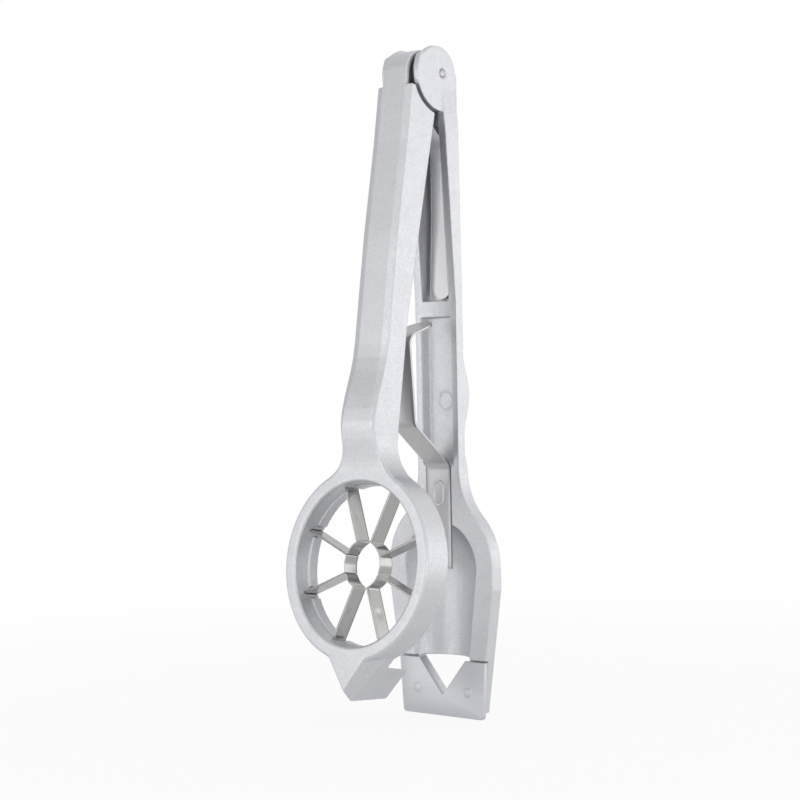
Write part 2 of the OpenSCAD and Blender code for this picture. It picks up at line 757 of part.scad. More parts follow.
module return_spring() {
    color(bright_steel) intersection() {
        across(leaf_w) strip_outline(leaf_line);
        // The free end is round
        through(face_y - pin_h, face_y + pin_h) {
            translate([0, strap_top + leaf_end + leaf_w / 2]) circle(d = leaf_w);
            translate([-leaf_w / 2, strap_top + leaf_end + leaf_w / 2]) square([leaf_w, pin_h]);
        }
    }
}

// Corners of the ejector strip, from the free end of its bow to its free end over the seat
bow_seat = inner_y + strip_t / 2;
bow_front = inner_y - bow_reach + strip_t / 2;
bow_corner = strap_low - bow_top;
bow_corners = [[inner_y - bow_tip, bow_corner + bow_rise], [bow_front, bow_corner],
               [bow_front + bow_lean, bow_corner - bow_crest], [bow_seat, bow_seat_top],
               [bow_seat, bow_end]];
bow_line = strip_line(bow_corners, [bow_bend, bow_bend, bow_bend]);

// Cuts the corners off the bow's free end, so that it is round
module bow_end_cut() {
    run = bow_corners[0] - bow_corners[1];
    r = bow_w / 2;
    translate([0, bow_corners[0][0], bow_corners[0][1]]) rotate([atan2(run[1], run[0]), 0, 0]) difference() {
        translate([-bow_w, -r, -r]) cube([2 * bow_w, bow_w, bow_w]);
        translate([0, -r, 0]) cylinder(r = r, h = 2 * bow_w, center = true);
    }
}

module ejector_spring() {
    color(bright_steel) difference() {
        across(bow_w) strip_outline(bow_line);
        bow_end_cut();
        through(inner_y - past, inner_y + strip_t + past) translate([0, oval_h]) oval(rivet_play);
    }
}

module spring_rivet() {
    color(aluminium) through(inner_y - rivet_proud, inner_y + strip_t + oval_seat)
        translate([0, oval_h]) oval();
}

// Notched plate and its rivets

module notch_blade() {
    corner_x = toe_w / 2 - plate_corner;
    color(bright_steel) difference() {
        through(-plate_t / 2, plate_t / 2) difference() {
            union() {
                polygon([[-plate_top_w / 2, plate_h], [-toe_w / 2, plate_corner], [-corner_x, plate_corner],
                         [-corner_x, 0], [corner_x, 0], [corner_x, plate_corner], [toe_w / 2, plate_corner],
                         [plate_top_w / 2, plate_h]]);
                for (side = [-1, 1]) translate([side * corner_x, plate_corner]) circle(r = plate_corner);
            }
            vee(notch_tip, plate_h + past);
        }
        for (side = [-1, 1])
            translate([side * rivet_pitch / 2, 0, rivet_h]) rotate([90, 0, 0])
                cylinder(d = rivet_d + 2 * rivet_play, h = 2 * plate_t, center = true);
    }
}

module notch_rivet(side) {
    color(bright_steel) translate([side * rivet_pitch / 2, inner_y - rivet_proud, rivet_h])
        rotate([-90, 0, 0]) cylinder(d = rivet_d, h = rim_t + 2 * rivet_proud);
}

rear_lever();
front_lever();
hinge_pin();
return_spring();
ejector_spring();
spring_rivet();
notch_blade();
notch_rivet(-1);  // notch_rivet_left
notch_rivet(1);  // notch_rivet_right
for (i = [0:blade_count - 1])
    petal_blade(i);
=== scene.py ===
import json
from math import acos, asin, cos, exp, hypot, pi, radians, sin, sqrt, tan

import bmesh
import bpy
from mathutils import Matrix, Vector


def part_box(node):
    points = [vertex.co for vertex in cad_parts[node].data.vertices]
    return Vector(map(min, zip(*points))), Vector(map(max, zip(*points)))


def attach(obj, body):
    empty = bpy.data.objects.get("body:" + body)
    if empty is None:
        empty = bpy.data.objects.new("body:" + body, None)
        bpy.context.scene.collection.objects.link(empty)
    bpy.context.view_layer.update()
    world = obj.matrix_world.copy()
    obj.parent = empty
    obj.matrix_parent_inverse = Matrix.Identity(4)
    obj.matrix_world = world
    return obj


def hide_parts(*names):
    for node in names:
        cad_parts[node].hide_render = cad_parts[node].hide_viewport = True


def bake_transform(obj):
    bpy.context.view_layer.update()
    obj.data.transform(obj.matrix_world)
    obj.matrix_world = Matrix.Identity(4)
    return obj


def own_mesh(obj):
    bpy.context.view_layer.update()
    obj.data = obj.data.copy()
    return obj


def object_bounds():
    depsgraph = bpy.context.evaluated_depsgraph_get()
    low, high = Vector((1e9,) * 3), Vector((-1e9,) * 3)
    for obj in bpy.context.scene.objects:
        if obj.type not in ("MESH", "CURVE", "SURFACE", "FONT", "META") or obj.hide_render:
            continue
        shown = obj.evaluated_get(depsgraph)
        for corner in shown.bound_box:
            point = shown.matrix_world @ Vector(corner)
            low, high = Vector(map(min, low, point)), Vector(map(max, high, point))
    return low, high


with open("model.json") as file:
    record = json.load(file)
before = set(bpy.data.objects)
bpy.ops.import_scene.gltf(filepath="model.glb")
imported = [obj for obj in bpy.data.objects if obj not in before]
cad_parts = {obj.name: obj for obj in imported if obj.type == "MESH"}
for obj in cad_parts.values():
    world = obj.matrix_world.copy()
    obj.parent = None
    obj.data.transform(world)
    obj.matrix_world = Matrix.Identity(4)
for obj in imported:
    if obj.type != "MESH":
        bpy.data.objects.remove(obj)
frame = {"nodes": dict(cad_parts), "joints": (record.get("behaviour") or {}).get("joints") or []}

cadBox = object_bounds()
print("frame loaded:", len(frame["nodes"]), "solids")

mm = 0.001
axisX, axisY, axisZ = 0, 1, 2
sideways, inwards = Vector((1, 0, 0)), Vector((0, 1, 0))
scene = bpy.context.scene
scene.view_settings.view_transform = "Standard"

hinge = frame["joints"][0]
pinAt = Vector(hinge["pos_m"])
openAngle = radians(hinge["range_deg"][1])

# Swings what is drawn on the closed front lever open about the pin
swingOpen = (Matrix.Translation(pinAt) @ Matrix.Rotation(-openAngle, 4, "X")
             @ Matrix.Translation(-pinAt))


def hexToLinear(code):
    # The sRGB curve
    parts = [int(code[i:i + 2], 16) / 255 for i in (1, 3, 5)]
    return [c / 12.92 if c <= 0.04045 else ((c + 0.055) / 1.055) ** 2.4 for c in parts] + [1.0]


def addNode(tree, kind, inputs=None, **settings):
    node = tree.nodes.new(kind)
    for name, value in settings.items():
        setattr(node, name, value)
    for key, value in (inputs or {}).items():
        if isinstance(value, bpy.types.NodeSocket):
            tree.links.new(value, node.inputs[key])
        else:
            node.inputs[key].default_value = value
    return node


def newMaterial(name):
    material = bpy.data.materials.new(name)
    material.use_nodes = True
    material.node_tree.nodes.clear()
    return material, material.node_tree


def placedAt(place, target, roll=0.0):
    # Matrix of a camera or lamp that looks from place to target
    turn = (target - place).to_track_quat("-Z", "Y").to_matrix()
    turn = turn @ Matrix.Rotation(radians(roll), 3, "Z")
    return Matrix.Translation(place) @ turn.to_4x4()


# Camera, at the photograph's view of the open tool
cameraSet = {
    "eye": (348.78, -396.76, 85.53),         # mm
    "target": (0.0, -15.13, 83.96),          # mm
    "roll": -1.035,                          # degrees
    "lens": 89.55, "sensor": 36.0,           # mm
    "clip": (0.01, 20.0),                    # metres
}

cameraData = bpy.data.cameras.new("photoCamera")
cameraData.lens = cameraSet["lens"]
cameraData.sensor_width = cameraSet["sensor"]
cameraData.clip_start, cameraData.clip_end = cameraSet["clip"]
camera = bpy.data.objects.new("photoCamera", cameraData)
lookAt = Vector(cameraSet["target"]) * mm
camera.matrix_world = placedAt(Vector(cameraSet["eye"]) * mm, lookAt, cameraSet["roll"])
scene.collection.objects.link(camera)
scene.camera = camera


# Studio: a white sweep on the right and behind, dimmer on the left of the camera, with soft lamps
# behind on the right, beside the camera and in front on the left
studio = {
    "backdrop": "#ffffff",
    "sweepSide": (0.75, 0.45, 0.48),         # direction of the middle of the sweep
    "frontShare": 0.56,                      # how much of its light comes from the other side
    "fill": 0.88,                            # what the white surroundings give to matt surfaces
    "floorSize": 12.0,                       # metres
    "floorShow": (0.88, 1.0),                # share of plain white in the floor, near and far
    "floorInMetal": 0.3,                     # the same near the object, as metal shows it
    "floorFade": (100, 400),                 # mm from the origin
    "floorColour": "#f4f4f4",
    "lamps": [
        # name, place in mm, size in mm, watts
        ("rightLamp", (520, 440, 60), 500, 0.55),
        ("edgeLamp", (680, -560, 160), 400, 0.6),
        ("frontLamp", (-300, -800, 60), 600, 1.8),
    ],
    "lampColour": "#ffffff",
}


def seenRays(tree):
    # 1 for the rays that show the background: to the camera, off metal or through glass
    rays = addNode(tree, "ShaderNodeLightPath").outputs
    total = rays["Is Camera Ray"]
    for kind in ("Is Glossy Ray", "Is Transmission Ray"):
        total = addNode(tree, "ShaderNodeMath", {0: total, 1: rays[kind]},
                        operation="ADD", use_clamp=True).outputs[0]
    return rays, total


world = bpy.data.worlds.new("whiteSweep")
world.use_nodes = True
scene.world = world
tree = world.node_tree
tree.nodes.clear()
rays, seen = seenRays(tree)
level = addNode(tree, "ShaderNodeMapRange", {
    "Value": seen, "To Min": studio["fill"], "To Max": 1.0})
direction = addNode(tree, "ShaderNodeTexCoord").outputs["Generated"]
facing = addNode(tree, "ShaderNodeVectorMath", {0: direction, 1: studio["sweepSide"]},
                 operation="DOT_PRODUCT")
sideLevel = addNode(tree, "ShaderNodeMapRange", {
    "Value": facing.outputs["Value"], "From Min": -1.0, "From Max": 1.0,
    "To Min": studio["frontShare"], "To Max": 1.0})
sideLevel = addNode(tree, "ShaderNodeMath", {
    0: sideLevel.outputs[0], 1: rays["Is Camera Ray"]}, operation="MAXIMUM")
strength = addNode(tree, "ShaderNodeMath", {
    0: level.outputs[0], 1: sideLevel.outputs[0]}, operation="MULTIPLY")
sky = addNode(tree, "ShaderNodeBackground", {
    "Color": hexToLinear(studio["backdrop"]), "Strength": strength.outputs[0]})
addNode(tree, "ShaderNodeOutputWorld", {"Surface": sky.outputs[0]})

floorMaterial, tree = newMaterial("paleFloor")
rays, seen = seenRays(tree)
onFloor = addNode(tree, "ShaderNodeTexCoord").outputs["Object"]
fromMiddle = addNode(tree, "ShaderNodeVectorMath", {0: onFloor}, operation="LENGTH")
near = addNode(tree, "ShaderNodeMapRange", {
    "Value": rays["Is Camera Ray"],
    "To Min": studio["floorInMetal"], "To Max": studio["floorShow"][0]})
fade = addNode(tree, "ShaderNodeMapRange", {
    "Value": fromMiddle.outputs["Value"],
    "From Min": studio["floorFade"][0] * mm, "From Max": studio["floorFade"][1] * mm,
    "To Min": near.outputs[0], "To Max": studio["floorShow"][1]},
    interpolation_type="SMOOTHSTEP")
share = addNode(tree, "ShaderNodeMath", {0: seen, 1: fade.outputs[0]}, operation="MULTIPLY")
matt = addNode(tree, "ShaderNodeBsdfDiffuse", {"Color": hexToLinear(studio["floorColour"])})
white = addNode(tree, "ShaderNodeEmission", {"Color": hexToLinear(studio["backdrop"])})
mixed = addNode(tree, "ShaderNodeMixShader", {
    0: share.outputs[0], 1: matt.outputs[0], 2: white.outputs[0]})
addNode(tree, "ShaderNodeOutputMaterial", {"Surface": mixed.outputs[0]})

half, ground = studio["floorSize"] / 2, cadBox[0].z
floorCorners = [(-half, -half, ground), (half, -half, ground),
                (half, half, ground), (-half, half, ground)]
floorMesh = bpy.data.meshes.new("floor")
floorMesh.from_pydata(floorCorners, [], [(0, 1, 2, 3)])
floorMesh.materials.append(floorMaterial)
floor = bpy.data.objects.new("floor", floorMesh)
scene.collection.objects.link(floor)

for name, place, size, watts in studio["lamps"]:
    lampData = bpy.data.lights.new(name, "AREA")
    lampData.size = size * mm
    lampData.energy = watts
    lampData.color = hexToLinear(studio["lampColour"])[:3]
    lamp = bpy.data.objects.new(name, lampData)
    lamp.matrix_world = placedAt(Vector(place) * mm, lookAt)
    scene.collection.objects.link(lamp)
print("studio and camera made")


def finishMetal(tree, colour, rough, bump):
    shader = addNode(tree, "ShaderNodeBsdfPrincipled", {
        "Base Color": colour.outputs[0], "Metallic": 1.0,
        "Roughness": rough.outputs[0], "Normal": bump.outputs[0]})
    addNode(tree, "ShaderNodeOutputMaterial", {"Surface": shader.outputs[0]})


# Die-cast aluminium, bead blasted: a pale grey metal whose fine pits scatter light, so it looks
# satin with a faint sparkle
castSet = {
    "colour": "#dadbdf",
    "dull": "#c7c8cc",
    "roughness": (0.42, 0.56),
    "pit": 0.36,               # mm between pits, about twice the real grain so that it shows
    "pitDepth": 0.035,         # mm
    "pitDetail": 2.0, "pitRoughness": 0.65,
    "bump": 0.6,
    "cloud": 7.0,              # mm across the soft clouds of the blasting
    "cloudDetail": 3.0,
    "toneBase": 0.25, "cloudShare": 0.5, "grainShare": 0.5,
}

castAluminium, tree = newMaterial("blastedCastAluminium")
coords = addNode(tree, "ShaderNodeTexCoord").outputs["Object"]
pitScale = 1 / (castSet["pit"] * mm)
pits = addNode(tree, "ShaderNodeTexNoise", {
    "Vector": coords, "Scale": pitScale,
    "Detail": castSet["pitDetail"], "Roughness": castSet["pitRoughness"]})
clouds = addNode(tree, "ShaderNodeTexNoise", {
    "Vector": coords, "Scale": 1 / (castSet["cloud"] * mm), "Detail": castSet["cloudDetail"]})
grains = addNode(tree, "ShaderNodeTexVoronoi", {"Vector": coords, "Scale": pitScale})
glint = addNode(tree, "ShaderNodeSeparateColor", {0: grains.outputs["Color"]})
tone = addNode(tree, "ShaderNodeMath", {
    0: clouds.outputs[0], 1: castSet["cloudShare"], 2: castSet["toneBase"]},
    operation="MULTIPLY_ADD")
tone = addNode(tree, "ShaderNodeMath", {
    0: glint.outputs[0], 1: castSet["grainShare"], 2: tone.outputs[0]},
    operation="MULTIPLY_ADD", use_clamp=True)
colour = addNode(tree, "ShaderNodeValToRGB", {0: tone.outputs[0]})
colour.color_ramp.elements[0].color = hexToLinear(castSet["dull"])
colour.color_ramp.elements[1].color = hexToLinear(castSet["colour"])
rough = addNode(tree, "ShaderNodeMapRange", {
    "Value": glint.outputs[1],
    "To Min": castSet["roughness"][0], "To Max": castSet["roughness"][1]})
bump = addNode(tree, "ShaderNodeBump", {
    "Height": pits.outputs[0], "Strength": castSet["bump"],
    "Distance": castSet["pitDepth"] * mm})
finishMetal(tree, colour, rough, bump)


# Rolled stainless strip: bright and neutral, with fine lines along the rolling direction that draw
# reflections out across them
rollSet = {
    "line": 0.12,              # mm between rolling lines, coarser than real so that they show
    "run": 9.0,                # mm along a line
    "lineDepth": 0.001,        # mm
    "detail": 3.0,
    "bump": 0.4,
    "stops": (0.3, 0.7),       # of the colour ramp
}


def rolledSteel(name, lineAcross, colours, roughness):
    # lineAcross is the axis square to the rolling lines
    material, tree = newMaterial(name)
    coords = addNode(tree, "ShaderNodeTexCoord").outputs["Object"]
    scale = [1 / (rollSet["run"] * mm)] * 3
    scale[lineAcross] = 1 / (rollSet["line"] * mm)
    stretched = addNode(tree, "ShaderNodeMapping", {"Vector": coords, "Scale": scale})
    lines = addNode(tree, "ShaderNodeTexNoise", {
        "Vector": stretched.outputs[0], "Scale": 1.0, "Detail": rollSet["detail"]})
    colour = addNode(tree, "ShaderNodeValToRGB", {0: lines.outputs[0]})
    for element, code, stop in zip(colour.color_ramp.elements, colours, rollSet["stops"]):
        element.color = hexToLinear(code)
        element.position = stop
    rough = addNode(tree, "ShaderNodeMapRange", {
        "Value": lines.outputs[0], "To Min": roughness[0], "To Max": roughness[1]})
    bump = addNode(tree, "ShaderNodeBump", {
        "Height": lines.outputs[0], "Strength": rollSet["bump"],
        "Distance": rollSet["lineDepth"] * mm})
    finishMetal(tree, colour, rough, bump)
    return material


# The leaf and the ejector are one spring steel: the leaf's copy is painted lighter, a painted light
# for the light that falls on it in its pocket, and the ejector keeps the plain tone; the blades are
# polished and darker, and the plate is tumbled satin
leafSteelPaintedLight = rolledSteel("springSteelPaintedLight", axisX, ("#d2d2d4", "#dadadb"), (0.36, 0.42))
ejectorSteel = rolledSteel("rolledSpringSteel", axisX, ("#b8b8ba", "#c4c4c5"), (0.30, 0.38))
bladeSteel = rolledSteel("polishedBladeSteel", axisY, ("#acacaa", "#b8b8b6"), (0.12, 0.18))
plateSteel = rolledSteel("tumbledPlateSteel", axisZ, ("#ced0d4", "#d6d8dc"), (0.50, 0.56))
pinSteel = rolledSteel("groundPinSteel", axisX, ("#c4c4c6", "#cececf"), (0.36, 0.44))
print("materials made")


makeSet = {
    "join": 1e-7,              # metres, points of a new mesh nearer than this are one
    "bevelSegments": 2,
    "bevelAngle": 50,          # degrees, sharper corners get the bevel
    "spinSides": 48,           # round a turned piece
}


def settle(piece):
    # Turns the piece with its modifiers into a plain mesh
    graph = bpy.context.evaluated_depsgraph_get()
    made = bpy.data.meshes.new_from_object(piece.evaluated_get(graph))
    piece.modifiers.clear()
    piece.data = made
    made.shade_smooth()


def newPiece(name, mesh, material):
    piece = bpy.data.objects.new(name, mesh)
    mesh.materials.clear()
    mesh.materials.append(material)
    scene.collection.objects.link(piece)
    return piece


def addModifier(piece, kind, **settings):
    modifier = piece.modifiers.new(kind.lower(), kind)
    for name, value in settings.items():
        setattr(modifier, name, value)
    return modifier


def softenEdges(piece, width, angle=makeSet["bevelAngle"]):
    addModifier(piece, "BEVEL", width=width * mm, segments=makeSet["bevelSegments"],
                limit_method="ANGLE", angle_limit=radians(angle))


def meshFrom(name, vertices, faces):
    mesh = bpy.data.meshes.new(name)
    mesh.from_pydata([tuple(vertex) for vertex in vertices], [], faces)
    work = bmesh.new()
    work.from_mesh(mesh)
    bmesh.ops.remove_doubles(work, verts=work.verts, dist=makeSet["join"])
    bmesh.ops.recalc_face_normals(work, faces=work.faces)
    work.to_mesh(mesh)
    work.free()
    return mesh


def loftMesh(name, rows):
    # A closed skin over rings of equally many points, capped at both ends
    count, last = len(rows[0]), len(rows) - 1
    faces = [tuple(range(count)), tuple(range(last * count, (last + 1) * count))]
    for i in range(last):
        for j in range(count):
            k = (j + 1) % count
            faces.append((i * count + j, i * count + k, (i + 1) * count + k, (i + 1) * count + j))
    return meshFrom(name, [point for row in rows for point in row], faces)


def spunMesh(name, profile):
    # A profile of radius and height in mm, spun about +Z
    turns = [2 * pi * j / makeSet["spinSides"] for j in range(makeSet["spinSides"])]
    return loftMesh(name, [[Vector((radius * cos(turn), radius * sin(turn), height)) * mm
                            for turn in turns] for radius, height in profile])


# The two castings: the solids with their sharp edges washed down to a cast radius
leverSet = {
    "join": 0.001,             # mm, points of the solid nearer than this are one
    "voxel": 0.18,             # mm
    "wash": 6,                 # smoothing passes
    "washShare": 0.5,          # of each pass
    "facets": 185000,          # triangles kept
}


def castLever(name, node, body, detail=None):
    mesh = frame["nodes"][node].data.copy()
    work = bmesh.new()
    work.from_mesh(mesh)
    bmesh.ops.remove_doubles(work, verts=work.verts, dist=leverSet["join"] * mm)
    work.to_mesh(mesh)
    work.free()
    lever = newPiece(name, mesh, castAluminium)
    addModifier(lever, "REMESH", mode="VOXEL", voxel_size=leverSet["voxel"] * mm)
    addModifier(lever, "SMOOTH", factor=leverSet["washShare"], iterations=leverSet["wash"])
    settle(lever)
    if detail:
        for vertex in lever.data.vertices:
            detail(vertex.co)
    triangles = 2 * len(lever.data.polygons)
    if triangles > leverSet["facets"]:
        addModifier(lever, "DECIMATE", ratio=leverSet["facets"] / triangles)
        settle(lever)
    lever.data.materials.clear()
    lever.data.materials.append(castAluminium)
    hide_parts(node)
    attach(lever, body)
    print(name, triangles, "to", len(lever.data.polygons), "faces")


# Channel of the rear lever: its floor has the round mark of a mould's ejector pin
markSet = {
    "at": (1.0, 83.6), "radius": 2.5,        # mm, x and z of its middle
    "floor": 2.5, "reach": 0.3,              # channel's depth, and how near its floor is marked
    "line": 0.22, "depth": 0.14,             # of the groove
}
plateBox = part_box("notch_blade")
innerY = plateBox[0].y / mm                  # inner face of the rear lever, mm


def mouldMark(co):
    x, z = markSet["at"]
    away = hypot(co.x / mm - x, co.z / mm - z) - markSet["radius"]
    if abs(co.y / mm - innerY - markSet["floor"]) < markSet["reach"]:
        co.y += markSet["depth"] * mm * exp(-(away / markSet["line"]) ** 2)


castLever("rearCasting", "rear_lever", "rear", mouldMark)
castLever("frontCasting", "front_lever", "front")


# Strips: a middle line with bent corners, given a width and a thickness
stripSet = {
    "bendSteps": 10,                         # in a bend
    "step": 0.8,                             # mm along a straight
    "endRows": (0.7, 0.4, 0.2, 0.08, 0.02),  # rows of a round end, as shares of the last step
}


def bend(before, corner, after, radius, steps=stripSet["bendSteps"]):
    back, on = (before - corner).normalized(), (after - corner).normalized()
    halfAngle = acos(max(-1, min(1, back.dot(on)))) / 2
    centre = corner + (back + on).normalized() * (radius / sin(halfAngle))
    reach = radius / tan(halfAngle)
    start, stop = corner + back * reach - centre, corner + on * reach - centre
    sweep = pi - 2 * halfAngle
    return [centre + (start * sin(sweep * (1 - i / steps)) + stop * sin(sweep * i / steps))
            / sin(sweep) for i in range(steps + 1)]


def bentLine(corners, radii):
    line = [corners[0]]
    for i, radius in enumerate(radii):
        line += bend(corners[i], corners[i + 1], corners[i + 2], radius)
    return line + [corners[-1]]


def fineLine(line, step):
    fine = []
    for start, stop in zip(line, line[1:]):
        count = max(1, round((stop - start).length / step))
        fine += [start.lerp(stop, i / count) for i in range(count)]
    return fine + [line[-1]]


def roundEnd(line, radius):
    # Adds rows towards the last point of a line and gives each row the half width of a round end
    tip = line[-1]
    line = line[:-1] + [tip.lerp(line[-2], share) for share in stripSet["endRows"]]
    fromEnd = [min(radius, (point - tip).length) for point in line]
    return line, [sqrt(radius ** 2 - (radius - length) ** 2) for length in fromEnd]


def stripMesh(name, line, widthAxis, halfWidths, thickness, columns):
    # Each point of the line gets two rows of points, one on each face of the strip
    vertices, faces = [], []
    row = columns + 1
    for i, point in enumerate(line):
        ahead = line[min(i + 1, len(line) - 1)] - line[max(i - 1, 0)]
        square = ahead.cross(widthAxis).normalized() * (thickness / 2)
        for face in (1, -1):
            vertices += [point + square * face + widthAxis * (halfWidths[i] * (2 * j / columns - 1))
                         for j in range(row)]
    for i in range(len(line) - 1):
        for face in (0, 1):
            for j in range(columns):
                a = (2 * i + face) * row + j
                faces.append((a, a + 1, a + 1 + 2 * row, a + 2 * row))
        for j in (0, columns):
            a = 2 * i * row + j
            faces.append((a, a + row, a + 3 * row, a + 2 * row))
    for i in (0, len(line) - 1):
        for j in range(columns):
            a = 2 * i * row + j
            faces.append((a, a + 1, a + 1 + row, a + row))
    return meshFrom(name, vertices, faces)


def stripPiece(name, line, sizes, steel):
    # A strip across the tool whose line ends in a round end
    line, halfWidths = roundEnd(fineLine(line, stripSet["step"] * mm), sizes["width"] / 2 * mm)
    mesh = stripMesh(name, line, sideways, halfWidths, sizes["thickness"] * mm, sizes["columns"])
    piece = newPiece(name, mesh, steel)
    softenEdges(piece, sizes["edge"])
    settle(piece)
    return piece


# Ejector strip: a round free end near the strap, a bow that the front lever presses, then flush in
# its seat and free over the radish
ejectorSet = {
    "thickness": 0.6, "width": 8.0,          # mm
    "strapLow": 105.7,                       # height of the strap's lower edge
    "tipOff": 3.5, "tipRise": 3.8,           # free end, before the seat and above the crest
    "crestDrop": 5.3, "crest": 23.0,         # crest's top below the strap, and its length
    "reach": 15.0, "lean": 1.7,              # how far the crest stands out, and its lean
    "foot": 39.2, "end": 39.1,               # foot of the bow below the strap, height of the end
    "bend": 3.0,
    "edge": 0.1,                             # rounding of the strip's edges
    "columns": 8,
}
seatY = innerY + ejectorSet["thickness"] / 2
bowY = innerY - ejectorSet["reach"] + ejectorSet["thickness"] / 2
crestTop = ejectorSet["strapLow"] - ejectorSet["crestDrop"]
corners = [(innerY - ejectorSet["tipOff"], crestTop + ejectorSet["tipRise"]),
           (bowY, crestTop),
           (bowY + ejectorSet["lean"], crestTop - ejectorSet["crest"]),
           (seatY, ejectorSet["strapLow"] - ejectorSet["foot"]),
           (seatY, ejectorSet["end"])]
line = bentLine([Vector((0, y, z)) * mm for y, z in corners],
                [ejectorSet["bend"] * mm] * (len(corners) - 2))
ejector = stripPiece("ejectorStrip", line[::-1], ejectorSet, ejectorSteel)
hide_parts("ejector_spring")
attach(ejector, "rear")
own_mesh(ejector)

# Return leaf: its root is pressed into the front lever under the boss, its round end slides on the
# pocket floor
leafSet = {
    "thickness": 0.6, "width": 6.6,          # mm
    "exit": (-5.95, 158.1), "root": 6.5,     # y and z where it leaves the lever, length inside
    "floor": 3.3, "kneeIn": 0.2,             # y on the pocket's floor, and how far off the knee is
    "wearHeight": 133.6,                     # where it lies on the floor
    "rise": 1.15, "end": 110.5,              # of its end off the floor, and the end's height
    "bends": (8.0, 80.0),                    # radii
    "edge": 0.1,
    "columns": 6,
}
slant = Vector((0, 1, -1)).normalized()
leafExit = Vector((0, *leafSet["exit"]))
toKnee = (leafSet["floor"] - leafSet["kneeIn"] - leafExit.y) * sqrt(2)
corners = [leafExit - slant * leafSet["root"],
           leafExit + slant * toKnee,
           Vector((0, leafSet["floor"], leafSet["wearHeight"])),
           Vector((0, leafSet["floor"] - leafSet["rise"], leafSet["end"]))]
line = bentLine([corner * mm for corner in corners], [radius * mm for radius in leafSet["bends"]])
# The leaf takes the copy of the spring steel painted lighter, painted light for its pocket
leaf = stripPiece("returnLeaf", line, leafSet, leafSteelPaintedLight)
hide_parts("return_spring")
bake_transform(leaf)
print("springs made")


def newGroup(name, inputs):
    # A Geometry Nodes group with a geometry and the named inputs
    group = bpy.data.node_groups.new(name, "GeometryNodeTree")
    group.interface.new_socket("Geometry", in_out="INPUT", socket_type="NodeSocketGeometry")
    sockets = {title: group.interface.new_socket(title, in_out="INPUT", socket_type=kind)
               for title, kind in inputs.items()}
    group.interface.new_socket("Geometry", in_out="OUTPUT", socket_type="NodeSocketGeometry")
    return group, sockets, addNode(group, "NodeGroupInput").outputs


def copyOnPoints(group, given, inputs):
    copies = addNode(group, "GeometryNodeInstanceOnPoints", {
        "Instance": given["Geometry"], **inputs})
    real = addNode(group, "GeometryNodeRealizeInstances", {"Geometry": copies.outputs[0]})
    clad = addNode(group, "GeometryNodeSetMaterial", {
        "Geometry": real.outputs[0], "Material": given["Metal"]})
    addNode(group, "NodeGroupOutput", {"Geometry": clad.outputs[0]})


def repeatPiece(piece, group, sockets, values):
    modifier = addModifier(piece, "NODES", node_group=group)
    for title, value in values.items():
        modifier[sockets[title].identifier] = value
    settle(piece)


# Blade star: one strip bent round its share of the tube, repeated round the ring's axis
starSet = {
    "count": 8,
    "thickness": 0.25, "width": 4.6, "gap": 0.04,   # mm
    "tube": 12.6, "hole": 42.0, "seat": 1.2,        # diameters, and how deep the ends are seated
    "bend": 0.28, "bendSteps": 5, "arcSteps": 5,
    "faceY": -14.65, "back": 3.1, "height": 39.7,   # of the closed lever
    "weld": 13.2, "weldRound": 1.0, "weldDepth": 0.05,     # spot welds, from the star's axis
    "weldReach": 3, "weldSteep": 4,                 # in weldRounds, and the power of the edge
    "edge": 0.03,
    "step": 0.5, "columns": 10,
}
halfTurn = pi / starSet["count"]
legOffset = (starSet["gap"] + starSet["thickness"]) / 2    # of a leg's middle from the next petal
tubeRadius = (starSet["tube"] - starSet["thickness"]) / 2
legEnd = starSet["hole"] / 2 + starSet["seat"]


def onLeg(along, side):
    out = Vector((sin(halfTurn), 0, cos(halfTurn)))
    over = Vector((-cos(halfTurn), 0, sin(halfTurn)))
    point = out * along + over * legOffset
    return Vector((point.x * side, 0, point.z))


legFoot = sqrt(tubeRadius ** 2 - legOffset ** 2)
footAngle = halfTurn - asin(legOffset / tubeRadius)
turns = [footAngle * (1 - i / starSet["arcSteps"]) for i in range(1, 2 * starSet["arcSteps"])]
arc = [Vector((tubeRadius * sin(turn), 0, tubeRadius * cos(turn))) for turn in turns]
corners = [onLeg(legEnd, 1), onLeg(legFoot, 1), *arc, onLeg(legFoot, -1), onLeg(legEnd, -1)]
line = [corner * mm for corner in corners]
bends = [bend(*three, starSet["bend"] * mm, starSet["bendSteps"])
         for three in (line[:3], line[-3:])]
line = fineLine(line[:1] + bends[0] + line[3:-3] + bends[1] + line[-1:], starSet["step"] * mm)
petal = stripMesh("petalStrip", line, inwards, [starSet["width"] / 2 * mm] * len(line),
                  starSet["thickness"] * mm, starSet["columns"])
welds = [onLeg(starSet["weld"], side) * mm for side in (1, -1)]
for vertex in petal.vertices:
    for weld in welds:
        away = hypot(hypot(vertex.co.x, vertex.co.z) - weld.length, vertex.co.y) / mm
        if (vertex.co - weld).length < starSet["weldReach"] * starSet["weldRound"] * mm:
            sunk = exp(-(away / starSet["weldRound"]) ** starSet["weldSteep"])
            vertex.co += vertex.normal * (-starSet["weldDepth"] * mm * sunk)

group, sockets, given = newGroup("repeatRoundAxis", {
    "Count": "NodeSocketInt", "Metal": "NodeSocketMaterial"})
points = addNode(group, "GeometryNodePoints", {"Count": given["Count"]})
index = addNode(group, "GeometryNodeInputIndex")
step = addNode(group, "ShaderNodeMath", {0: 2 * pi, 1: given["Count"]}, operation="DIVIDE")
angle = addNode(group, "ShaderNodeMath", {
    0: index.outputs[0], 1: step.outputs[0]}, operation="MULTIPLY")
turned = addNode(group, "ShaderNodeCombineXYZ", {"Y": angle.outputs[0]})
copyOnPoints(group, given, {"Points": points.outputs[0], "Rotation": turned.outputs[0]})

